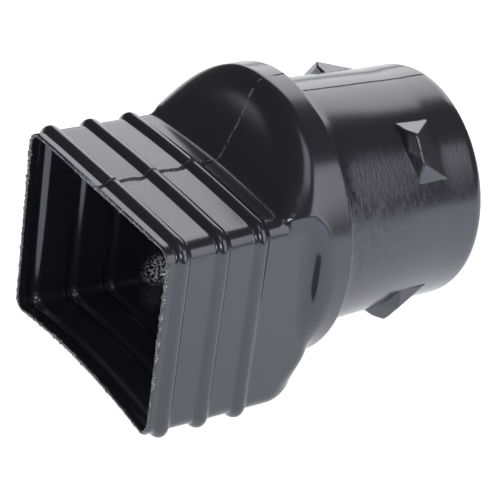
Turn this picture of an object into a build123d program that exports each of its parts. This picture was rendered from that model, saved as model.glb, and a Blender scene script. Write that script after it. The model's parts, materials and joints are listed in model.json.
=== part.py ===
from build123d import *
import math
import os

# Downspout adapter: one thin blow-moulded shell that joins a rectangular downspout
# to a round drain pipe. Millimetres, +Z up.
#
# It is drawn along +X, from the mouth of the rectangular socket at x = 0 to the end of
# the round spigot, with z = 0 at mid-height of the socket. Then it is laid down the way
# it rests: on the last rib round the socket and on the bottom of the body's collar edge.
# The origin ends up under the middle of its bounding box, on the surface it rests on.

# Rectangular socket
mouth_width = 105.0          # outside, across Y, at the mouth
mouth_height = 82.0          # outside, across Z, at the mouth
side_close = 2.2             # each side wall closes in this much towards the body
socket_end_height = 83.8
taper_length = 70.4          # the end sizes hold this far from the mouth
corner_radius = 6.5
top_crown_mouth = 0.4        # how far the middle of the top wall stands above its corners
top_crown_end = 2.8
bottom_sag_mouth = 4.5       # how far the middle of the bottom wall has sunk inwards
bottom_sag_end = 0.4
end_round_bottom = 18.0      # rounding of the closed end, seen from the side
end_round_sides = 6.0        # and seen from above
end_run = 20.0               # length of the end whose outline from above follows the sides
end_flare = 10.0             # ahead of that, the outline opens out clear of them

# Ribs round the socket
rib_count = 3
first_rib = 6.4
rib_pitch = 17.65
rib_width = 8.6
rib_height = 2.4
rib_steps = 3                # flats on each side of a rib's crest
rib_dip = 12.0               # the bead's arc goes on this many degrees under the wall's face

# Transition and round body
crease_x = 53.6              # straight crease across the top, at the middle
ramp_angle = 63.0            # slope of the face behind the crease, from level
brow_drop = 1.9              # the round body's brow starts this far under the crease
brow_slope = 32.0            # and its underside falls at this angle to the body's front
body_ledge = 6.5             # the body stands this far out past the sides of the mouth
body_rise = 17.8             # the round axis lies this far above the socket's mid-height
body_lead = 3.1              # the body's front lies this far ahead of the ramp's top
body_band = 10.4             # from the ramp's top to the collar, the step down to the spigot
socket_lap = 7.2             # the socket's closed end reaches this far into the body
shoulder_round = 10.5
body_front_round = 3.5
collar_chamfer = 0.6

# Round spigot, which goes into the drain pipe: a slight cone, then a straight nose
spigot_root_radius = 50.6
nose_radius = 48.3
nose_start = 136.0
spigot_end = 152.8
lip_round = 2.2

# Barbed lugs on the spigot, at 45 degrees above and below the sides. The top face of
# an upper lug is level; its crest falls from the tip to the foot.
lug_start = 118.6
lug_end = 134.6
lug_crest_x = 121.4
lug_top_angle = 30.5         # from the top of the spigot, round towards the side
lug_foot_angle = 60.0
lug_tip_radius = 55.6
lug_tip_angle = 40.2
lug_crest_end_radius = 54.2
lug_crest_end_angle = 52.0
lug_root_depth = 1.2         # the lug's base reaches this far into the spigot wall

# Wall thickness
wall = 1.5
lip_wall = 2.4               # at the very end of the spigot, under the rounded lip
lip_length = 2.0

overrun = 1.0                # how far a cut runs past an open end
same = 0.1                   # places closer than this are taken as one

ramp_slope = math.tan(math.radians(ramp_angle))
section_plane = Plane(origin=(0, 0, 0), x_dir=(0, 1, 0), z_dir=(1, 0, 0))


def blend(start, end, x):
    """Value at x of something that runs evenly from the mouth to the end of the taper."""
    return start + (end - start) * x / taper_length


# Sizes and places that follow from the ones above
socket_end_width = mouth_width - 2 * side_close
body_radius = mouth_width / 2 + body_ledge
body_top = body_rise + body_radius
crease_z = blend(mouth_height, socket_end_height, crease_x) / 2 + blend(top_crown_mouth, top_crown_end, crease_x)
ramp_top_x = crease_x + (body_top - crease_z) / ramp_slope
body_start = ramp_top_x - body_lead
socket_end = body_start + socket_lap
collar_x = ramp_top_x + body_band
last_rib = first_rib + rib_pitch * (rib_count - 1)


def socket_outline(x, inset, grow=0.0):
    """Rounded rectangle across the socket at x, moved inwards by inset."""
    half_width = blend(mouth_width, socket_end_width, x) / 2 - inset + grow
    half_height = blend(mouth_height, socket_end_height, x) / 2 - inset + grow
    crown = blend(top_crown_mouth, top_crown_end, x)
    sag = blend(bottom_sag_mouth, bottom_sag_end, x)
    top = ThreePointArc((-half_width, half_height), (0, half_height + crown), (half_width, half_height))
    side = Line((half_width, half_height), (half_width, -half_height))
    bottom = ThreePointArc((half_width, -half_height), (0, sag - half_height), (-half_width, -half_height))
    far_side = Line((-half_width, -half_height), (-half_width, half_height))
    outline = make_face([top, side, bottom, far_side])
    outline = fillet(outline.vertices(), corner_radius - inset + grow)
    return (section_plane.offset(x) * outline).face()


def prism_across(points, half_width, rounded=(), radius=0.0):
    """Closed XZ outline, some corners rounded, drawn out to both sides along Y."""
    outline = make_face(Polyline(*points, close=True))
    if rounded:
        corners = [v for v in outline.vertices()
                   if any(math.dist((v.X, v.Y), corner) < same for corner in rounded)]
        outline = fillet(corners, radius)
    return extrude(Plane.XZ * outline, half_width, both=True)


def socket_form(inset, start):
    """Box-shaped part, from start to its rounded, closed end."""
    end = socket_end - inset
    box = loft([socket_outline(start, inset), socket_outline(end, inset)], ruled=True)
    foot_z = inset - blend(mouth_height, socket_end_height, end) / 2
    side_view = prism_across(
        [(start, foot_z), (start, mouth_height), (end, mouth_height), (end, foot_z)],
        mouth_width, [(end, foot_z)], end_round_bottom - inset)
    near = end - end_run
    half_width = blend(mouth_width, socket_end_width, near) / 2 - inset
    clear = near - end_flare
    plan = make_face(Polyline(
        (start, -mouth_width), (clear, -mouth_width), (near, -half_width), (end, -half_width),
        (end, half_width), (near, half_width), (clear, mouth_width), (start, mouth_width), close=True))
    corners = [v for v in plan.vertices() if abs(v.X - end) < same]
    plan = fillet(corners, end_round_sides - inset)
    return box & side_view & extrude(plan, mouth_width, both=True)


def round_solid(start, end, start_radius, end_radius):
    """Cylinder or cone along X about the raised round axis."""
    length = end - start
    place = Plane(origin=(start, 0, body_rise), x_dir=(0, 1, 0), z_dir=(1, 0, 0))
    outline = Polyline((0, 0), (start_radius, 0), (end_radius, length), (0, length), close=True)
    return place * revolve(Plane.XZ * make_face(outline), Axis.Z)


def collared_round(start, inset):
    """Cylinder of the round body from start to the collar, where its edge is taken off a little."""
    length = collar_x - inset - start
    radius = body_radius - inset
    place = Plane(origin=(start, 0, body_rise), x_dir=(0, 1, 0), z_dir=(1, 0, 0))
    outline = Polyline((0, 0), (radius, 0), (radius, length - collar_chamfer),
                       (radius - collar_chamfer, length), (0, length), close=True)
    return place * revolve(Plane.XZ * make_face(outline), Axis.Z)


def ramp_slice(inset, low_x, high_z):
    """Round body behind the slanted face, with the ridge between them rounded."""
    shift = inset / math.sin(math.radians(ramp_angle))
    high_x = ramp_top_x + (high_z - body_top) / ramp_slope + shift
    end = collar_x + overrun
    behind = prism_across([(low_x, 0), (high_x, high_z), (end, high_z), (end, 0)], high_z)
    ramp = behind & collared_round(low_x, inset)
    ridge = [edge for edge in ramp.edges().filter_by(GeomType.ELLIPSE) if edge.center().Z > body_rise]
    return fillet(ridge, shoulder_round - inset)


def drum(inset):
    """Short cylinder ahead of the collar, with a softly rounded front."""
    cylinder = collared_round(body_start + inset, inset)
    front = cylinder.edges().filter_by(GeomType.CIRCLE).sort_by(Axis.X)[0]
    return fillet(front, body_front_round - inset)


def body_form(inset):
    """Round body: the ramp above a brow that falls to the drum's front, the drum below it."""
    low_x = crease_x + (inset / math.cos(math.radians(ramp_angle)) - crease_z) / ramp_slope
    high_z = body_top + overrun
    end = collar_x + overrun
    fall = math.tan(math.radians(brow_slope))
    brow_z = crease_z - brow_drop + inset / math.cos(math.radians(brow_slope))
    start_z = brow_z + (crease_x - brow_drop / ramp_slope - low_x) * fall
    front_x = body_start + inset
    front_z = start_z - (front_x - low_x) * fall
    above = prism_across(
        [(low_x, start_z), (front_x, front_z), (end, front_z), (end, high_z), (low_x, high_z)], high_z)
    below = prism_across([(low_x, brow_z), (end, brow_z), (end, -high_z), (low_x, -high_z)], high_z)
    return (drum(inset) & below) + (ramp_slice(inset, low_x, high_z) & above)


def spigot_radius(x):
    """Outer radius of the spigot at x."""
    share = min((x - collar_x) / (nose_start - collar_x), 1.0)
    return spigot_root_radius + (nose_radius - spigot_root_radius) * share


def spigot_form(inset, start, end):
    """Round spigot: a slight cone to the end of the lugs, then a straight nose."""
    cone = round_solid(start, nose_start, spigot_radius(start) - inset, nose_radius - inset)
    return cone + round_solid(nose_start, end, nose_radius - inset, nose_radius - inset)


def rib(x, inset):
    """Half-round bead round the socket at x; the cavity has the same bead, smaller by the wall."""
    half = rib_width / 2 - inset
    height = rib_height - inset
    radius = (half ** 2 + height ** 2) / (2 * height)
    half_turn = math.asin(half / radius) + math.radians(rib_dip)
    slices = []
    for step in range(-rib_steps, rib_steps + 1):
        turn = half_turn * step / rib_steps
        rise = radius * math.cos(turn) - radius + height
        slices.append(socket_outline(x + radius * math.sin(turn), inset, rise))
    return loft(slices, ruled=True)


def on_round(x, angle, radius):
    """Point on the spigot: angle from its top, round towards -Y."""
    turn = math.radians(angle)
    return Vector(x, -radius * math.sin(turn), body_rise + radius * math.cos(turn))


def lug():
    """One barbed lug: steep towards the collar, a long ramp towards the end, a level top."""
    start_radius = spigot_radius(lug_start) - lug_root_depth
    end_radius = spigot_radius(lug_end) - lug_root_depth
    return ConvexPolyhedron([
        on_round(lug_start, lug_top_angle, start_radius + lug_root_depth),
        on_round(lug_start, lug_foot_angle, start_radius + lug_root_depth),
        on_round(lug_end, lug_top_angle, end_radius + lug_root_depth),
        on_round(lug_end, lug_foot_angle, end_radius + lug_root_depth),
        on_round(lug_start, lug_top_angle, start_radius),
        on_round(lug_start, lug_foot_angle, start_radius),
        on_round(lug_end, lug_top_angle, end_radius),
        on_round(lug_end, lug_foot_angle, end_radius),
        on_round(lug_crest_x, lug_tip_angle, lug_tip_radius),
        on_round(lug_crest_x, lug_crest_end_angle, lug_crest_end_radius)])


def filled_form(inset, extra):
    """The whole outer form as a filled solid, or the cavity when inset is the wall."""
    form = socket_form(inset, -extra)
    for number in range(rib_count):
        form += rib(first_rib + number * rib_pitch, inset)
    form += body_form(inset)
    form += spigot_form(inset, collar_x - inset - overrun, spigot_end + extra)
    return form


def lip_ring():
    """Thicker rim inside the spigot's end."""
    start = spigot_end - lip_length
    inner_radius = nose_radius - lip_wall
    ring = round_solid(start, spigot_end, nose_radius - same, nose_radius - same)
    return ring - round_solid(start - overrun, spigot_end + overrun, inner_radius, inner_radius)


def build_adapter():
    outside = filled_form(0, 0)
    lip = outside.edges().filter_by(GeomType.CIRCLE).sort_by(Axis.X)[-1]
    outside = fillet(lip, lip_round)
    mid_level = Plane.XY.offset(body_rise)
    for upper_lug in (lug(), mirror(lug(), Plane.XZ)):
        outside += upper_lug
        outside += mirror(upper_lug, mid_level)
    cavity = filled_form(wall, overrun)
    return outside - (cavity - lip_ring())


def resting_place(shell):
    """Tips the shell onto its last rib and its collar, and puts the origin under its middle."""
    rib_low = socket_outline(last_rib, 0, rib_height).bounding_box().min.Z
    collar_low = body_rise - body_radius
    run = collar_x - collar_chamfer - last_rib
    tip = math.degrees(math.atan2(collar_low - rib_low, run))
    tipped = Rot(0, tip, 0)
    box = (tipped * shell).bounding_box()
    return Pos(-box.center().X, 0, -box.min.Z) * tipped


def report(adapter, place):
    """Prints what the description of the part quotes."""
    box = adapter.bounding_box()
    print("volume", round(adapter.volume), "size", [round(side, 1) for side in box.size])
    print("centre of mass", [round(value, 1) for value in adapter.center(CenterOf.MASS)])
    nose_middle = (nose_start + spigot_end - lip_round) / 2
    mouth = (place * Pos(0, 0, 0)).position
    towards_pipe = (place * Pos(1, 0, 0)).position - mouth
    print("mouth middle", [round(value, 3) for value in mouth])
    print("nose middle", [round(value, 3) for value in (place * Pos(nose_middle, 0, body_rise)).position])
    print("towards the pipe", [round(value, 5) for value in towards_pipe])


shell = build_adapter()
place = resting_place(shell)
adapter = place * shell
adapter.label = "adapter"
os.makedirs("parts", exist_ok=True)
export_step(adapter, "parts/adapter.step")
report(adapter, place)
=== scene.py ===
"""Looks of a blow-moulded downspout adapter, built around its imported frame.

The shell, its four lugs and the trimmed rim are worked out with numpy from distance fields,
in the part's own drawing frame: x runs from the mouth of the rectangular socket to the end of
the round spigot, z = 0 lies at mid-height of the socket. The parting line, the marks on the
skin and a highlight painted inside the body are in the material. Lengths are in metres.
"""

import json
import math

import bpy
import numpy as np
from mathutils import Matrix, Vector


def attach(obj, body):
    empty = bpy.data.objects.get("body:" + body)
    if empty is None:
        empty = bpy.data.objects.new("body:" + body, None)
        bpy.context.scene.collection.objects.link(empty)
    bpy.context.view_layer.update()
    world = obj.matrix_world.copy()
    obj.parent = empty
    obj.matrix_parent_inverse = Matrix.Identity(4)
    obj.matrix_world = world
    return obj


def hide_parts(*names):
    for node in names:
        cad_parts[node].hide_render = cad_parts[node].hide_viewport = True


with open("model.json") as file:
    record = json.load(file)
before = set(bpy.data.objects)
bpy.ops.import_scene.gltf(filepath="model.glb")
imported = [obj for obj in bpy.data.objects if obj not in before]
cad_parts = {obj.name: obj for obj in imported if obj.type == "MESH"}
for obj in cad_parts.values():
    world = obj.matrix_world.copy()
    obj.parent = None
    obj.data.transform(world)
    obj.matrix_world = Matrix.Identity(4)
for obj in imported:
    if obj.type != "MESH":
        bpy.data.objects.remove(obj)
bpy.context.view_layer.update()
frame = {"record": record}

bl_info = {
    "name": "Downspout adapter",
    "version": (1, 0, 0),
    "blender": (4, 5, 0),
    "location": "3D View > Sidebar > Adapter",
    "description": "Builds a blow-moulded rectangular-to-round downspout adapter and its studio",
    "category": "Add Mesh",
}

MM = 0.001

# Socket
RIBS = 3
CROWN_AT_MOUTH = 0.4 * MM        # rise of the top wall's middle over its edges
CROWN_GAIN = 2.4 * MM            # and how much more at the end of the taper
SINK_AT_MOUTH = 4.5 * MM         # how far the bottom wall's middle is sunk inwards
SINK_LOSS = 4.1 * MM
SOCKET_LAP = 7.2 * MM            # the closed end lies this far inside the round body
END_ROUND_SIDES = 6 * MM
END_ROUND_BOTTOM = 18 * MM
RIB_FOOT_ROUND = 0.9 * MM
INNER_RIB_SHARE = 0.5            # depth of a rib on the inner face over the outer one

# Ramp and round body
BROW_DROP = 1.9 * MM             # the brow starts this far under the crease
BROW_LEAD = MM
BROW_FALL = math.radians(32)
BROW_ROUND = 3 * MM
DRUM_JOIN = 8 * MM
RIDGE_ROUND = 6 * MM
RIDGE_GAIN = 4.5 * MM            # the ridge is rounder where the drum's front takes over
COLLAR_ROUND = 1.3 * MM
VALLEY_ROUND = 1.6 * MM
VALLEY_GAIN = 2.6 * MM           # the valley is rounder at the upper sides
RIPPLE = 0.05 * MM

# Spigot
ROOT_FLARE = 2.4 * MM
ROOT_FLARE_LENGTH = 9.5 * MM
ROOT_DRAWN_IN = 0.3 * MM
ROOT_ROUND = 0.9 * MM
LIP_LENGTH = 4.2 * MM
LIP_DEPTH = 2.2 * MM
LIP_WALL = 2.5 * MM

# Search for the skin, from the round axis outwards
NEAREST = 12 * MM
FARTHEST = 92 * MM

# Rim and lugs
RIM_OUT = 0.35 * MM
LUG_ROUND = 0.3 * MM
LUG_ROOT = MM                    # depth of a lug's root in the spigot's wall

# Marks on the skin, and a painted highlight inside the body
CRACK_COLOUR = (0.001, 0.001, 0.001, 1)
SCRATCH_COLOUR = (0.17, 0.17, 0.19, 1)
# Painted highlight: the colour below is a pale patch inside the body that stands in for a light's
# reflection
PAINTED_HIGHLIGHT_COLOUR = (0.85, 0.85, 0.88, 1)
TORN_COLOUR = (0.62, 0.62, 0.65, 1)
# Middle of that painted highlight, on the far wall inside the body
PAINTED_HIGHLIGHT_MIDDLE = (-13.5 * MM, 48.9 * MM, 7 * MM)

# Studio: name, place, width, height, power in watts and roll in degrees of each lamp
LAMPS = (("rear softbox", (1.06, 0.98, 0.76), 1.35, 1.26, 11.9, 0),
         ("right softbox", (0.46, -1.215, 0.80), 1.12, 1.34, 9.2, -24),
         ("front lamp", (-1.10, -0.80, 0.70), 0.35, 0.35, 3.6, 0),
         ("top softbox", (-0.50, -0.50, 1.50), 0.6, 0.6, 1.6, 0))
LAMP_TARGET = (0.0, 0.0, 0.05)
FLOOR_LIFT = 0.9                 # what the floor adds to its lit colour where it is seen
SURROUND = 0.12
LENS = 159.9
CAMERA_SPOT = np.array([-0.3985, -0.6202, 0.4341])
CAMERA_RIGHT = (0.8288, -0.5452, 0.1260)
CAMERA_BACK = (-0.5305, -0.6939, 0.4870)

# The drawing frame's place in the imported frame
mouth_mount = next(m for m in frame["record"]["mounts"] if m["name"] == "downspout_socket")
FLOW_AXIS = -np.array(mouth_mount["axis"])
MOUTH_MIDDLE = np.array(mouth_mount["pos_m"])


def length(name, description, default):
    """Float property for a length in metres."""
    return bpy.props.FloatProperty(name=name, description=description, default=default, min=0.0,
                                   unit="LENGTH", precision=4)


class AdapterSizes(bpy.types.PropertyGroup):
    """Sizes of the moulding."""
    mouth_width: length("Mouth width", "Outside width of the socket at its mouth", 0.105)
    mouth_height: length("Mouth height", "Outside height of the socket at its mouth", 0.082)
    end_width: length("End width", "Outside width of the socket at its closed end", 0.1006)
    end_height: length("End height", "Outside height of the socket at its closed end", 0.0838)
    taper_length: length("Taper length", "Distance over which the socket tapers", 0.0704)
    corner_radius: length("Corner radius", "Rounding of the socket's long edges", 0.0065)
    wall: length("Wall", "Wall thickness", 0.0015)
    first_rib: length("First rib", "Distance of the first rib from the mouth", 0.0067)
    rib_pitch: length("Rib pitch", "Distance from one rib to the next", 0.01765)
    rib_width: length("Rib width", "Width of a rib at its foot", 0.0056)
    rib_height: length("Rib height", "Height of a rib above the wall", 0.0024)
    crease: length("Crease", "Distance of the top crease from the mouth", 0.0536)
    body_radius: length("Body radius", "Radius of the round body", 0.059)
    body_rise: length("Body rise", "Height of the round axis above the socket's middle", 0.0178)
    body_start: length("Body start", "Where the round body begins", 0.0672)
    collar: length("Collar", "Where the body steps down to the spigot", 0.0807)
    root_radius: length("Spigot root radius", "Radius of the spigot at the collar", 0.0506)
    nose_radius: length("Spigot nose radius", "Radius of the spigot at its end", 0.0483)
    nose_start: length("Nose start", "Where the spigot stops tapering", 0.136)
    spigot_end: length("Spigot end", "Distance from the mouth to the spigot's end", 0.1528)
    lug_start: length("Lug start", "Where the lugs begin, on the collar side", 0.1186)
    lug_end: length("Lug end", "Where the lugs run out into the spigot", 0.1346)
    lug_crest: length("Lug crest", "Place of the lugs' crest", 0.1214)
    lug_tip: length("Lug tip", "Distance of a lug's tip from the round axis", 0.0556)
    ramp_angle: bpy.props.FloatProperty(
        name="Ramp angle", description="Slope of the face behind the crease",
        default=math.radians(63), subtype="ANGLE")


class AdapterFinish(bpy.types.PropertyGroup):
    """Colours and gloss."""
    plastic: bpy.props.FloatVectorProperty(
        name="Plastic", description="Colour of the moulding", subtype="COLOR",
        size=3, min=0, max=1, default=(0.024, 0.024, 0.031))
    gloss: bpy.props.FloatProperty(
        name="Roughness", description="Roughness of the clean skin",
        default=0.19, min=0, max=1, subtype="FACTOR")
    floor: bpy.props.FloatVectorProperty(
        name="Floor", description="Colour of the studio floor", subtype="COLOR",
        size=3, min=0, max=1, default=(0.80, 0.81, 0.92))


def round_meet(a, b, radius):
    """Distance to where two solids overlap, the edge between them rounded to radius:
    beyond both faces it is the length of the two overshoots counted from the radius."""
    beyond = np.hypot(np.maximum(a + radius, 0), np.maximum(b + radius, 0))
    return np.minimum(np.maximum(a, b), -radius) + beyond


def round_join(a, b, radius):
    """Distance to two solids together, the inner corner between them filled to radius."""
    return -round_meet(-a, -b, radius)


def ease(low, high, value):
    """0 below low, 1 above high, and the cubic 3t^2 - 2t^3 between."""
    t = np.clip((value - low) / (high - low), 0, 1)
    return t * t * (3 - 2 * t)


def socket_field(s, x, y, z, share_of_rib):
    """Rounded box with tapering half sizes, its top crowned and its bottom sunk by a parabola
    across the width; each rib is a circle in the plane of (x, distance from the wall), of which
    a share stands out of the wall."""
    t = x / s.taper_length
    half_width = (s.mouth_width + (s.end_width - s.mouth_width) * t) / 2
    half_height = (s.mouth_height + (s.end_height - s.mouth_height) * t) / 2
    share = np.maximum(1 - (y / half_width) ** 2, 0)
    lift = np.where(z > 0, CROWN_AT_MOUTH + CROWN_GAIN * t, SINK_AT_MOUTH - SINK_LOSS * t) * share
    flat_z = z - lift * ease(0, 25 * MM, np.abs(z))
    r = s.corner_radius
    a = np.abs(y) - (half_width - r)
    b = np.abs(flat_z) - (half_height - r)
    wall = np.hypot(np.maximum(a, 0), np.maximum(b, 0)) + np.minimum(np.maximum(a, b), 0) - r
    low_down = ease(18 * MM, 38 * MM, -z)
    end_round = END_ROUND_SIDES + (END_ROUND_BOTTOM - END_ROUND_SIDES) * low_down
    field = round_meet(wall, x - (s.body_start + SOCKET_LAP), end_round)
    half = s.rib_width / 2
    rib_radius = (half ** 2 + s.rib_height ** 2) / (2 * s.rib_height)
    for number in range(RIBS):
        across = x - s.first_rib - number * s.rib_pitch
        bead = np.hypot(across, wall + rib_radius - s.rib_height * share_of_rib) - rib_radius
        field = round_join(field, bead, RIB_FOOT_ROUND)
    return field


def crease_height(s):
    """Height of the socket's top at the crease, at the middle."""
    t = s.crease / s.taper_length
    half_height = (s.mouth_height + (s.end_height - s.mouth_height) * t) / 2
    return half_height + CROWN_AT_MOUTH + CROWN_GAIN * t


def body_field(s, x, y, z):
    """Cylinder met by everything behind the ramp's plane or the drum's front plane. The ramp
    ends below in a brow whose underside falls towards the drum's front. The two are joined
    first, so that the cylinder is shared, then the ridge is rounded."""
    crease_z = crease_height(s)
    tube = np.hypot(y, z - s.body_rise) - s.body_radius
    plane = (z - crease_z) * math.cos(s.ramp_angle) - (x - s.crease) * math.sin(s.ramp_angle)
    under = ((crease_z - BROW_DROP - z) * math.cos(BROW_FALL)
             - (x - s.crease + BROW_LEAD) * math.sin(BROW_FALL))
    ramp = round_meet(plane, under, BROW_ROUND)
    front = s.body_start - x
    behind = round_join(ramp, front, DRUM_JOIN)
    ridge = RIDGE_ROUND + RIDGE_GAIN * ease(-8 * MM, 6 * MM, front - ramp)
    body = round_meet(tube, behind, ridge)
    return round_meet(body, x - s.collar, COLLAR_ROUND)


def spigot_radius(s, x):
    """Radius of the spigot at x: even taper from the collar to the nose, then straight, with
    the root flaring by a parabola towards the collar."""
    share = np.clip((x - s.collar) / (s.nose_start - s.collar), 0, 1)
    cone = s.root_radius + (s.nose_radius - s.root_radius) * share
    flare = ROOT_FLARE * (1 - np.clip((x - s.collar) / ROOT_FLARE_LENGTH, 0, 1)) ** 2
    return cone + flare - ROOT_DRAWN_IN * (1 - share)


def shell_field(s, x, y, z, share_of_rib):
    """Distance from the moulding's outer face: socket, body and spigot joined with fillets,
    and a slow ripple of the skin as blow moulding leaves it."""
    spigot = np.hypot(y, z - s.body_rise) - spigot_radius(s, x)
    spigot = np.maximum(spigot, s.collar - 2 * MM - x)
    side = ease(40 * MM, 50 * MM, np.abs(y)) * ease(-24 * MM, 4 * MM, z)
    valley = VALLEY_ROUND + VALLEY_GAIN * side
    field = round_join(socket_field(s, x, y, z, share_of_rib), body_field(s, x, y, z), valley)
    field = round_join(field, spigot, ROOT_ROUND)
    ripple = (np.sin(x / (7.1 * MM) + 1.3 * np.sin(y / (11 * MM))) * np.sin(y / (9.3 * MM) + 0.7)
              + np.sin(z / (8.7 * MM) + x / (13 * MM)) * np.sin(y / (12.5 * MM) - 1.1))
    return field + RIPPLE * ripple


def skin_radius(s, x, turn, level, low, high):
    """Distance from the round axis at which the field equals level, for arrays of x and turn
    (turn runs from the top round towards -Y). Found by halving the span from low to high.
    The ribs are shallower on the inner face than on the outer one."""
    share = 1 + INNER_RIB_SHARE * np.maximum(level, -s.wall) / s.wall
    low = np.broadcast_to(low, x.shape).copy()
    high = np.broadcast_to(high, x.shape).copy()
    for _ in range(22):
        middle = (low + high) / 2
        y, z = -middle * np.sin(turn), s.body_rise + middle * np.cos(turn)
        value = shell_field(s, x, y, z, share)
        inside = value < level
        low = np.where(inside, middle, low)
        high = np.where(inside, high, middle)
    return (low + high) / 2


def place(points):
    """Drawing frame to the frame's own axes: turned about Y to the flow axis, then moved to
    the mouth."""
    ahead = np.array([FLOW_AXIS[0], 0, FLOW_AXIS[2]])
    ahead /= np.linalg.norm(ahead)
    up = np.array([-ahead[2], 0, ahead[0]])
    return (MOUTH_MIDDLE + points[..., 0:1] * ahead
            + points[..., 1:2] * np.array([0, 1, 0]) + points[..., 2:3] * up)


def grid_faces(rows, columns, close_rows, close_columns):
    """Quads of a grid of points, joined back on itself where it is closed."""
    i = np.arange(rows if close_rows else rows - 1)[:, None]
    j = np.arange(columns if close_columns else columns - 1)[None, :]
    i2 = (i + 1) % rows
    j2 = (j + 1) % columns
    quads = [i * columns + j, i2 * columns + j, i2 * columns + j2, i * columns + j2]
    return np.stack(quads, -1).reshape(-1, 4)


def cube_directions(steps):
    """Unit vectors through an evenly stepped cube's surface, equal angles apart, and the quads
    that join them. Points shared by two sides are merged, so the surface is closed."""
    step = np.tan(np.linspace(-math.pi / 4, math.pi / 4, steps + 1))
    a, b = np.meshgrid(step, step, indexing="ij")
    one = np.ones_like(a)
    sides = [np.stack(side, -1).reshape(-1, 3) for side in (
        (a, b, one), (b, a, -one), (one, a, b), (-one, b, a), (b, one, a), (a, -one, b))]
    count = (steps + 1) ** 2
    quads = grid_faces(steps + 1, steps + 1, False, False)
    faces = np.concatenate([quads + number * count for number in range(6)])
    points = np.concatenate(sides)
    _, first, merged = np.unique(
        np.round(points, 9), axis=0, return_index=True, return_inverse=True)
    points = points[first]
    return points / np.linalg.norm(points, axis=1)[:, None], merged.ravel()[faces]


def add_piece(name, points, faces, material):
    """Mesh object from an array of points in the drawing frame and an array of quads."""
    verts = place(points.reshape(-1, 3)).astype(np.float32)
    mesh = bpy.data.meshes.new(name)
    mesh.vertices.add(len(verts))
    mesh.vertices.foreach_set("co", verts.ravel())
    mesh.loops.add(faces.size)
    mesh.loops.foreach_set("vertex_index", faces.astype(np.int32).ravel())
    mesh.polygons.add(len(faces))
    mesh.polygons.foreach_set("loop_start", np.arange(0, faces.size, 4, dtype=np.int32))
    mesh.update(calc_edges=True)
    mesh.validate()
    mesh.polygons.foreach_set("use_smooth", np.ones(len(mesh.polygons), bool))
    mesh.materials.append(material)
    piece = bpy.data.objects.new(name, mesh)
    bpy.context.scene.collection.objects.link(piece)
    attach(piece, "root")
    return piece


def spans(*stops):
    """Values that run through the stops; each stop but the first is (value, number of steps)."""
    values = [np.array([stops[0]])]
    for (end, steps) in stops[1:]:
        values.append(np.linspace(values[-1][-1], end, steps + 1)[1:])
    return np.concatenate(values)


def turns():
    """Angles of the grid's columns: close together at the box's long edges."""
    half = spans(0, (50, 27), (80, 36), (128, 28), (146, 28), (180, 17))
    return np.radians(np.concatenate([half, 360 - half[-2:0:-1]]))


def outer_rows(s):
    """Places of the outer rows along x, close together on the ribs and at the steps."""
    stops = [RIM_OUT / MM]
    beside_rib, collar_edge, root = 4.0, 1.4, 0.9
    for number in range(RIBS):
        middle = (s.first_rib + number * s.rib_pitch) / MM
        stops += [(middle - beside_rib, 3 if number == 0 else 6), (middle + beside_rib, 24)]
    stops += [(53, 5), (56, 8), (64, 15), (67.4, 9), (67.6, 2), (69.5, 8), (72, 6), (79.2, 8)]
    arc = np.sin(np.radians(np.linspace(0, 90, 6)))
    collar = s.collar / MM
    edge = collar - collar_edge + collar_edge * arc[1:]
    foot = collar + 0.021 + root * (1 - arc[::-1][:-1])
    lip_start = (s.spigot_end - LIP_LENGTH) / MM
    spigot = spans(82.1, (90, 7), (lip_start - 0.2, 32))
    return np.concatenate([spans(*stops), edge, foot, spigot]) * MM


def shell_grid(s):
    """Closed profile carried round the axis: outer rows, the lip, inner rows back, the rim.
    Every row has a place along x and a level of the field, 0 outside and -wall inside."""
    outer = outer_rows(s)
    lip_turn = np.radians(np.linspace(4, 90, 9))
    lip_x = s.spigot_end - LIP_LENGTH * (1 - np.sin(lip_turn))
    lip_level = -LIP_DEPTH * (1 - np.cos(lip_turn))
    back_turn = np.radians(np.linspace(60, 0, 4))
    back_x = s.spigot_end - 0.25 * MM * (1 - np.sin(back_turn))
    back_level = np.full(len(back_x), -LIP_WALL)
    inner = MM * spans(
        150.2, (149.2, 3), (82, 20), (79.7, 4), (79.1, 3), (69, 8), (65, 5), (53, 10), (47.2, 4),
        (36.2, 14), (29.4, 4), (18.6, 14), (11.9, 4), (1.2, 15), (RIM_OUT / MM, 2))
    thick = np.where(inner > 149.5 * MM, LIP_WALL, s.wall)
    rim_turn = np.radians(np.linspace(-60, 60, 5))
    rim_x = RIM_OUT * (1 - np.cos(rim_turn))
    rim_level = -s.wall / 2 * (1 - np.sin(rim_turn))
    x = np.concatenate([outer, lip_x, back_x, inner, rim_x])
    level = np.concatenate([np.zeros(len(outer)), lip_level, back_level, -thick, rim_level])
    angle = turns()
    x = np.repeat(x[:, None], len(angle), 1)
    level = np.repeat(level[:, None], len(angle), 1)
    angle = np.repeat(angle[None, :], len(x), 0)
    low = np.where(x > s.collar + 0.001 * MM, 40 * MM, NEAREST)
    radius = skin_radius(s, x, angle, level, low, FARTHEST)
    return np.stack([x, -radius * np.sin(angle), s.body_rise + radius * np.cos(angle)], -1)


def lug_corners(s):
    """Corners of the upper near lug: top, middle and foot on the spigot at both ends, then the
    tip and the end of its crest."""
    def on_round(x, angle, radius):
        turn = math.radians(angle)
        return np.array([x, -radius * math.sin(turn), s.body_rise + radius * math.cos(turn)])
    start = float(spigot_radius(s, s.lug_start))
    end = float(spigot_radius(s, s.lug_end))
    return [on_round(s.lug_start, 29.5, start),
            on_round(s.lug_start, 45, start + 0.2 * MM),
            on_round(s.lug_start, 60, start),
            on_round(s.lug_end, 30, end),
            on_round(s.lug_end, 45, end + 0.5 * MM),
            on_round(s.lug_end, 60, end + 0.2 * MM),
            on_round(s.lug_crest - MM, 40, s.lug_tip),
            on_round(s.lug_crest + MM, 52, s.lug_tip - 2.2 * MM)]


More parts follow.
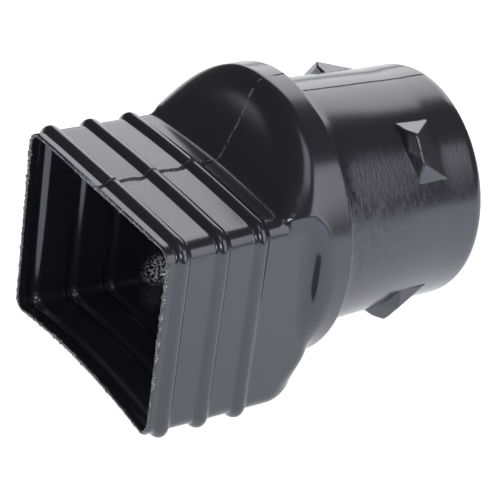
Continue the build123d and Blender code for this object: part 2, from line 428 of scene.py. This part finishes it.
def lug_surface(s):
    """Flat faces through triples of corners, each a distance from its plane, and a round root
    inside the spigot's wall; the largest is the distance from the lug, taken with a small
    rounding. Rays from its middle find the skin."""
    start_top, start_middle, start_foot, end_top, end_middle, end_foot, tip, crest = lug_corners(s)
    outwards = np.array([0, -1, 1]) / math.sqrt(2)
    middle = (start_top + start_foot + end_top + end_foot) / 4
    middle = middle + np.array([-MM, 0, 0]) + 1.8 * MM * outwards
    triples = (
        (start_top, end_top, tip), (start_top, tip, start_middle), (tip, crest, start_middle),
        (start_middle, crest, start_foot), (tip, end_top, end_middle), (tip, crest, end_middle),
        (crest, end_middle, end_foot), (start_foot, crest, end_foot))
    directions, faces = cube_directions(26)
    low = np.zeros(len(directions))
    high = np.full(len(directions), 30 * MM)
    planes = []
    for a, b, c in triples:
        normal = np.cross(b - a, c - a)
        normal /= np.linalg.norm(normal)
        if np.dot(middle - a, normal) > 0:
            normal = -normal
        planes.append((normal, np.dot(a, normal)))
    for _ in range(24):
        half = (low + high) / 2
        points = middle + directions * half[:, None]
        across = np.hypot(points[:, 1], points[:, 2] - s.body_rise)
        field = spigot_radius(s, points[:, 0]) - LUG_ROOT - across
        for normal, offset in planes:
            field = round_meet(field, points @ normal - offset, LUG_ROUND)
        low = np.where(field < 0, half, low)
        high = np.where(field < 0, high, half)
    return middle + directions * low[:, None], faces


def all_lugs(s):
    """The near upper lug and its mirror copies, faces turned round where one mirror is used."""
    points, faces = lug_surface(s)
    sets, quads = [], []
    for number, (side, level) in enumerate(((1, 1), (-1, 1), (1, -1), (-1, -1))):
        copy = points.copy()
        copy[:, 1] *= side
        copy[:, 2] = s.body_rise + level * (copy[:, 2] - s.body_rise)
        turned = faces if side * level > 0 else faces[:, ::-1]
        sets.append(copy)
        quads.append(turned + number * len(points))
    return np.concatenate(sets), np.concatenate(quads)


def smoothed(values, window):
    """Values round a closed ring, averaged over a window of neighbours."""
    count = len(values)
    return np.convolve(np.tile(values, 3), window, "same")[count:2 * count]


def rim_surface(s):
    """Rough bead left where the mouth was trimmed: a ring of small circles along the middle of
    the wall's end, their radius and place disturbed by fixed random steps, partly smoothed,
    and by a few chips. The sides are torn more than the top and bottom."""
    rng = np.random.default_rng(11)
    count, sides = 1500, 8
    turn = np.linspace(0, 2 * math.pi, count, endpoint=False)
    at_mouth, in_wall = np.full(count, 0.4 * MM), np.full(count, -s.wall / 2)
    middle = skin_radius(s, at_mouth, turn, in_wall, NEAREST, FARTHEST)
    rough = rng.normal(0, 1, count)
    rough = (rough + np.roll(rough, 1) + np.roll(rough, -1)) / 3
    slow = smoothed(rng.normal(0, 1, count), np.hanning(41) / 20)
    chips = np.clip(smoothed(rng.random(count) > 0.985, np.hanning(9)), 0, 1)
    broken_up = 0.35 + 0.65 * ease(0.25, 0.75, np.abs(np.sin(turn)))
    radius = MM * np.clip(0.72 + broken_up * (0.24 * rough + 0.4 * slow) + 0.4 * chips, 0.5, 1.4)
    shift = (0.3 + broken_up * (0.16 * np.roll(rough, 7) + 0.2 * slow)) * MM
    around = np.linspace(0, 2 * math.pi, sides, endpoint=False)[None, :]
    reach = middle[:, None] + radius[:, None] * np.cos(around) * 1.15
    x = shift[:, None] + radius[:, None] * np.sin(around) * 0.6
    y, z = -reach * np.sin(turn)[:, None], s.body_rise + reach * np.cos(turn)[:, None]
    return np.stack([x, y, z], -1)


def new_group(name, inputs, outputs):
    """Empty shader node group with named sockets."""
    group = bpy.data.node_groups.new(name, "ShaderNodeTree")
    for socket_name, kind, default in inputs:
        socket = group.interface.new_socket(socket_name, in_out="INPUT", socket_type=kind)
        if default is not None:
            socket.default_value = default
    for socket_name, kind in outputs:
        group.interface.new_socket(socket_name, in_out="OUTPUT", socket_type=kind)
    return group, group.nodes.new("NodeGroupInput"), group.nodes.new("NodeGroupOutput")


def add_node(tree, kind, settings=None, **values):
    """Node with its settings and the default values of its input sockets."""
    node = tree.nodes.new(kind)
    for key, value in (settings or {}).items():
        setattr(node, key, value)
    for key, value in values.items():
        node.inputs[key.replace("_", " ")].default_value = value
    return node


def math_node(tree, operation, first, second=None, clamp=False):
    """Math node fed by sockets or plain numbers; gives its output socket."""
    node = tree.nodes.new("ShaderNodeMath")
    node.operation = operation
    node.use_clamp = clamp
    for index, value in enumerate((first, second)):
        if value is None:
            continue
        if isinstance(value, bpy.types.NodeSocket):
            tree.links.new(value, node.inputs[index])
        else:
            node.inputs[index].default_value = value
    return node.outputs[0]


def plus(tree, first, second, clamp=False):
    """Sum of two sockets or numbers."""
    return math_node(tree, "ADD", first, second, clamp)


def times(tree, first, second, clamp=False):
    """Product of two sockets or numbers."""
    return math_node(tree, "MULTIPLY", first, second, clamp)


def falling_mask(tree, value, low, high):
    """1 below low, 0 above high, smooth between."""
    node = add_node(tree, "ShaderNodeMapRange", {"interpolation_type": "SMOOTHSTEP"},
                    From_Min=low, From_Max=high, To_Min=1.0, To_Max=0.0)
    tree.links.new(value, node.inputs["Value"])
    return node.outputs["Result"]


def rising_mask(tree, value, low, high):
    """0 below low, 1 above high, smooth between."""
    return math_node(tree, "SUBTRACT", 1.0, falling_mask(tree, value, low, high))


def noise(tree, vector, **values):
    """Value of a noise over the vector."""
    node = add_node(tree, "ShaderNodeTexNoise", **values)
    tree.links.new(vector, node.inputs["Vector"])
    return node.outputs["Fac"]


def split(tree, vector):
    """The vector's three parts."""
    node = tree.nodes.new("ShaderNodeSeparateXYZ")
    tree.links.new(vector, node.inputs[0])
    return node.outputs


def grain_group():
    """Height of the moulded skin: fine pebble, soft dents and a few raised specks."""
    group, inp, out = new_group(
        "Moulded grain",
        [("Vector", "NodeSocketVector", None), ("Size", "NodeSocketFloat", 600.0)],
        [("Height", "NodeSocketFloat")])
    where = inp.outputs["Vector"]
    fine = add_node(group, "ShaderNodeTexNoise", Detail=4.0, Roughness=0.6)
    group.links.new(where, fine.inputs["Vector"])
    group.links.new(inp.outputs["Size"], fine.inputs["Scale"])
    soft = noise(group, where, Detail=2.0, Roughness=0.5, Scale=55.0)
    speck = add_node(group, "ShaderNodeTexVoronoi", Scale=70.0)
    group.links.new(where, speck.inputs["Vector"])
    dots = math_node(group, "SUBTRACT", 0.06, speck.outputs["Distance"])
    dots = times(group, dots, 12.0, clamp=True)
    height = plus(group, times(group, fine.outputs["Fac"], 0.25), times(group, soft, 0.8))
    height = plus(group, height, times(group, dots, 0.35))
    group.links.new(height, out.inputs["Height"])
    return group


def parting_group():
    """Line where the two mould halves met, in the plane y = 0: a cracked groove along the top of
    the socket, a broken pale scratch up the ramp, a fine groove along the spigot."""
    group, inp, out = new_group(
        "Parting line", [("Vector", "NodeSocketVector", None)],
        [("Groove", "NodeSocketFloat"), ("Scratch", "NodeSocketFloat")])
    where = inp.outputs["Vector"]
    along, across, height = split(group, where)
    jitter = noise(group, where, Scale=170.0, Detail=4.0)
    breaks = noise(group, where, Scale=420.0, Detail=2.0)
    wander = times(group, math_node(group, "SUBTRACT", jitter, 0.5), 6 * MM)
    wide = math_node(group, "ABSOLUTE", plus(group, across, wander))
    near = math_node(group, "ABSOLUTE", plus(group, across, times(group, wander, 0.22)))
    top = rising_mask(group, height, 58 * MM, 60 * MM)
    socket = times(group, falling_mask(group, along, -24.5 * MM, -23.5 * MM), top)
    spigot = times(group, rising_mask(group, along, MM, 3 * MM), top)
    ramp = math_node(group, "SUBTRACT", math_node(group, "SUBTRACT", top, socket), spigot)
    crack = times(group, falling_mask(group, wide, 0.1 * MM, 1.3 * MM), socket)
    fine = times(group, falling_mask(group, near, 0.0, 0.6 * MM), spigot)
    scratch = times(group, falling_mask(group, near, 0.3 * MM, 0.7 * MM), ramp)
    scratch = times(group, scratch, rising_mask(group, breaks, 0.44, 0.54))
    group.links.new(plus(group, crack, fine, clamp=True), out.inputs["Groove"])
    group.links.new(math_node(group, "MAXIMUM", scratch, 0.0), out.inputs["Scratch"])
    return group


def draw_group():
    """Height and wear of the fine marks across the spigot's sides: a noise drawn out round the
    girth, strongest near the collar."""
    group, inp, out = new_group(
        "Draw marks", [("Vector", "NodeSocketVector", None)],
        [("Height", "NodeSocketFloat"), ("Wear", "NodeSocketFloat")])
    where = inp.outputs["Vector"]
    stretch = add_node(group, "ShaderNodeMapping", Scale=(1.0, 0.28, 0.28))
    group.links.new(where, stretch.inputs["Vector"])
    marks = noise(group, stretch.outputs["Vector"], Scale=900.0, Detail=2.0, Roughness=0.6)
    along, _, height = split(group, where)
    spigot = rising_mask(group, along, 2 * MM, 8 * MM)
    below = falling_mask(group, height, 88 * MM, 100 * MM)
    above = rising_mask(group, height, 36 * MM, 58 * MM)
    towards_collar = falling_mask(group, along, 20 * MM, 60 * MM)
    near_collar = plus(group, times(group, towards_collar, 0.75), 0.25)
    place_mask = times(group, times(group, spigot, below), times(group, above, near_collar))
    wear = plus(group, rising_mask(group, marks, 0.44, 0.60), 0.25)
    group.links.new(times(group, marks, place_mask), out.inputs["Height"])
    group.links.new(times(group, wear, place_mask), out.inputs["Wear"])
    return group


def painted_highlight_group():
    """Mask of a highlight painted inside the body: a pale mottled patch on the far wall that
    stands in for a light's reflection there, a ball round that place, cut off before the wall's
    outer face, broken up by a coarse noise."""
    group, inp, out = new_group(
        "Inner painted highlight", [("Vector", "NodeSocketVector", None)], [("Painted highlight", "NodeSocketFloat")])
    where = inp.outputs["Vector"]
    gap = add_node(group, "ShaderNodeVectorMath", {"operation": "DISTANCE"})
    gap.inputs[1].default_value = PAINTED_HIGHLIGHT_MIDDLE
    group.links.new(where, gap.inputs[0])
    across = split(group, where)[1]
    # Mottle of the painted highlight
    broken_up = rising_mask(group, noise(group, where, Scale=900.0, Detail=3.0), 0.46, 0.58)
    near = times(group, falling_mask(group, gap.outputs["Value"], 3 * MM, 9 * MM),
                 falling_mask(group, across, 49.3 * MM, 49.7 * MM))
    group.links.new(times(group, near, broken_up), out.inputs["Painted highlight"])
    return group


def use_group(tree, name, make, vector):
    """Group node of that name fed by the vector; the group is made on first use."""
    node = tree.nodes.new("ShaderNodeGroup")
    node.node_tree = bpy.data.node_groups.get(name) or make()
    tree.links.new(vector, node.inputs["Vector"])
    return node


def mix_colours(tree, factor, first, second):
    """Colour mixed from first to second; each is a socket or an RGBA value."""
    node = add_node(tree, "ShaderNodeMix", {"data_type": "RGBA"})
    tree.links.new(factor, node.inputs[0])
    for socket, value in ((node.inputs[6], first), (node.inputs[7], second)):
        if isinstance(value, bpy.types.NodeSocket):
            tree.links.new(value, socket)
        else:
            socket.default_value = value
    return node.outputs[2]


def new_material(name):
    """Material with an empty node tree and its output."""
    material = bpy.data.materials.new(name)
    material.use_nodes = True
    tree = material.node_tree
    tree.nodes.clear()
    return material, tree, tree.nodes.new("ShaderNodeOutputMaterial")


def add_bump(tree, shader, height, distance):
    """Bump of the given height on the shader's normal."""
    bump = add_node(tree, "ShaderNodeBump", Strength=1.0, Distance=distance)
    tree.links.new(height, bump.inputs["Height"])
    tree.links.new(bump.outputs["Normal"], shader.inputs["Normal"])


def plastic_material(finish):
    """Glossy black polyethylene with moulded grain, draw marks, parting line and uneven gloss,
    and a highlight painted as a pale patch on the wall inside the body.
    """
    material, tree, output = new_material("black polyethylene")
    shader = add_node(tree, "ShaderNodeBsdfPrincipled", IOR=1.8,
                      Specular_Tint=(0.90, 0.90, 1.0, 1))
    where = tree.nodes.new("ShaderNodeTexCoord").outputs["Object"]
    grain = use_group(tree, "Moulded grain", grain_group, where)
    parting = use_group(tree, "Parting line", parting_group, where)
    draw = use_group(tree, "Draw marks", draw_group, where)
    painted_highlight = use_group(tree, "Inner painted highlight", painted_highlight_group, where)
    groove, scratch = parting.outputs["Groove"], parting.outputs["Scratch"]
    colour = mix_colours(tree, groove, (*finish.plastic, 1), CRACK_COLOUR)
    colour = mix_colours(tree, scratch, colour, SCRATCH_COLOUR)
    # Painted highlight: a pale mottled patch inside the body in place of a light's reflection
    colour = mix_colours(tree, painted_highlight.outputs["Painted highlight"], colour, PAINTED_HIGHLIGHT_COLOUR)
    tree.links.new(colour, shader.inputs["Base Color"])
    height = math_node(tree, "SUBTRACT", times(tree, grain.outputs["Height"], 0.25),
                       times(tree, groove, 12.0))
    height = plus(tree, height, times(tree, draw.outputs["Height"], 1.1))
    add_bump(tree, shader, height, 0.1 * MM)
    uneven = noise(tree, where, Scale=28.0, Detail=3.0)
    rough = plus(tree, times(tree, uneven, 0.12), finish.gloss - 0.06)
    rough = plus(tree, rough, times(tree, draw.outputs["Wear"], 0.2))
    marked = math_node(tree, "MAXIMUM", groove, scratch)
    rough = plus(tree, rough, times(tree, marked, 0.5))
    tree.links.new(rough, shader.inputs["Roughness"])
    tree.links.new(shader.outputs["BSDF"], output.inputs["Surface"])
    return material


def cut_material(finish):
    """Torn plastic at the trimmed rim: crumbly, with pale and dark specks."""
    material, tree, output = new_material("cut edge")
    shader = add_node(tree, "ShaderNodeBsdfPrincipled", IOR=1.6, Roughness=0.35)
    where = tree.nodes.new("ShaderNodeTexCoord").outputs["Object"]
    crumbs = noise(tree, where, Scale=1300.0, Detail=2.0)
    patches = noise(tree, where, Scale=170.0, Detail=2.0)
    pale = times(tree, rising_mask(tree, crumbs, 0.42, 0.58),
                 rising_mask(tree, patches, 0.35, 0.65))
    dark = tuple(value * 3.8 for value in finish.plastic)
    colour = mix_colours(tree, pale, (*dark, 1), TORN_COLOUR)
    tree.links.new(colour, shader.inputs["Base Color"])
    add_bump(tree, shader, crumbs, 0.4 * MM)
    tree.links.new(shader.outputs["BSDF"], output.inputs["Surface"])
    return material


def named_material(name, make):
    """Material of that name, made on first use."""
    return bpy.data.materials.get(name) or make(bpy.context.scene.adapter_finish)


class ADAPTER_OT_shell(bpy.types.Operator):
    """Build the moulded shell: socket with ribs, ramp, round body and spigot"""
    bl_idname = "adapter.shell"
    bl_label = "Shell"

    def execute(self, context):
        points = shell_grid(context.scene.adapter_sizes)
        faces = grid_faces(*points.shape[:2], True, True)
        material = named_material("black polyethylene", plastic_material)
        piece = add_piece("shell", points, faces, material)
        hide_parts("adapter")
        return {"FINISHED"}


class ADAPTER_OT_lugs(bpy.types.Operator):
    """Build the four barbed lugs on the spigot"""
    bl_idname = "adapter.lugs"
    bl_label = "Lugs"

    def execute(self, context):
        points, faces = all_lugs(context.scene.adapter_sizes)
        material = named_material("black polyethylene", plastic_material)
        add_piece("lugs", points, faces, material)
        return {"FINISHED"}


class ADAPTER_OT_rim(bpy.types.Operator):
    """Build the rough trimmed rim round the mouth"""
    bl_idname = "adapter.rim"
    bl_label = "Trimmed rim"

    def execute(self, context):
        points = rim_surface(context.scene.adapter_sizes)
        faces = grid_faces(*points.shape[:2], True, True)
        add_piece("trimmed_rim", points, faces, named_material("cut edge", cut_material))
        return {"FINISHED"}


def aim(lamp, origin, target, roll):
    """Place a lamp at origin, looking at target, turned about its line of sight."""
    sight = Vector(target) - Vector(origin)
    turn = sight.to_track_quat("-Z", "Y").to_matrix().to_4x4()
    lamp.matrix_world = Matrix.Translation(origin) @ turn @ Matrix.Rotation(roll, 4, "Z")


class ADAPTER_OT_stage(bpy.types.Operator):
    """Build the studio: floor, soft lamps, world and camera"""
    bl_idname = "adapter.stage"
    bl_label = "Stage"

    def execute(self, context):
        scene = context.scene
        scene.view_settings.view_transform = "Standard"
        self.add_floor(scene)
        self.add_world(scene)
        self.add_lamps(scene)
        self.add_camera(scene)
        return {"FINISHED"}

    def add_floor(self, scene):
        """Large pale disc; its camera-side colour is lifted towards white, shadow kept."""
        radius, corners = 4.0, 96
        angle = np.linspace(0, 2 * math.pi, corners + 1)[:-1]
        ring = np.stack([radius * np.cos(angle), radius * np.sin(angle), np.zeros(corners)], -1)
        mesh = bpy.data.meshes.new("floor")
        mesh.from_pydata(ring.tolist(), [], [list(range(corners))])
        floor = bpy.data.objects.new("floor", mesh)
        scene.collection.objects.link(floor)
        material, tree, output = new_material("studio floor")
        matt = add_node(tree, "ShaderNodeBsdfDiffuse", Color=(*scene.adapter_finish.floor, 1))
        glow = tree.nodes.new("ShaderNodeEmission")
        path = tree.nodes.new("ShaderNodeLightPath")
        total = tree.nodes.new("ShaderNodeAddShader")
        seen = plus(tree, path.outputs["Is Camera Ray"], path.outputs["Is Glossy Ray"])
        seen = plus(tree, seen, path.outputs["Is Transmission Ray"], clamp=True)
        tree.links.new(times(tree, seen, FLOOR_LIFT), glow.inputs["Strength"])
        tree.links.new(matt.outputs[0], total.inputs[0])
        tree.links.new(glow.outputs[0], total.inputs[1])
        tree.links.new(total.outputs[0], output.inputs["Surface"])
        mesh.materials.append(material)

    def add_world(self, scene):
        """Even grey surround."""
        world = bpy.data.worlds.new("studio")
        scene.world = world
        world.use_nodes = True
        tree = world.node_tree
        tree.nodes.clear()
        output = tree.nodes.new("ShaderNodeOutputWorld")
        background = add_node(tree, "ShaderNodeBackground", Strength=SURROUND)
        tree.links.new(background.outputs[0], output.inputs["Surface"])

    def add_lamps(self, scene):
        """Soft lamps aimed at the adapter's middle."""
        for name, origin, width, height, power, roll in LAMPS:
            light = bpy.data.lights.new(name, "AREA")
            light.shape = "RECTANGLE"
            light.size = width
            light.size_y = height
            light.energy = power
            lamp = bpy.data.objects.new(name, light)
            scene.collection.objects.link(lamp)
            aim(lamp, origin, LAMP_TARGET, math.radians(roll))

    def add_camera(self, scene):
        """Camera fixed in the drawing frame, so that it turns with the adapter."""
        view = bpy.data.cameras.new("camera")
        view.sensor_width = 36.0
        view.lens = LENS
        camera = bpy.data.objects.new("camera", view)
        scene.collection.objects.link(camera)
        marks = CAMERA_SPOT + np.array([[0, 0, 0], CAMERA_RIGHT, CAMERA_BACK])
        spot, right, back = place(marks)
        right = Vector(right - spot).normalized()
        back = Vector(back - spot).normalized()
        turn = Matrix((right, back.cross(right), back)).transposed().to_4x4()
        camera.matrix_world = Matrix.Translation(spot) @ turn
        scene.camera = camera


class ADAPTER_PT_panel(bpy.types.Panel):
    """Sidebar panel with the adapter's pieces"""
    bl_idname = "ADAPTER_PT_panel"
    bl_label = "Downspout adapter"
    bl_space_type = "VIEW_3D"
    bl_region_type = "UI"
    bl_category = "Adapter"

    def draw(self, context):
        for group in (context.scene.adapter_sizes, context.scene.adapter_finish):
            column = self.layout.column(align=True)
            for name in group.__annotations__:
                column.prop(group, name)
        for operator in OPERATORS:
            self.layout.operator(operator.bl_idname)


OPERATORS = (ADAPTER_OT_shell, ADAPTER_OT_lugs, ADAPTER_OT_rim, ADAPTER_OT_stage)
CLASSES = (AdapterSizes, AdapterFinish, *OPERATORS, ADAPTER_PT_panel)


def register():
    for item in CLASSES:
        bpy.utils.register_class(item)
    bpy.types.Scene.adapter_sizes = bpy.props.PointerProperty(type=AdapterSizes)
    bpy.types.Scene.adapter_finish = bpy.props.PointerProperty(type=AdapterFinish)


def unregister():
    del bpy.types.Scene.adapter_finish
    del bpy.types.Scene.adapter_sizes
    for item in reversed(CLASSES):
        bpy.utils.unregister_class(item)


def main():
    register()
    bpy.ops.adapter.shell()
    bpy.ops.adapter.lugs()
    bpy.ops.adapter.rim()
    bpy.ops.adapter.stage()


if __name__ == "__main__":
    main()
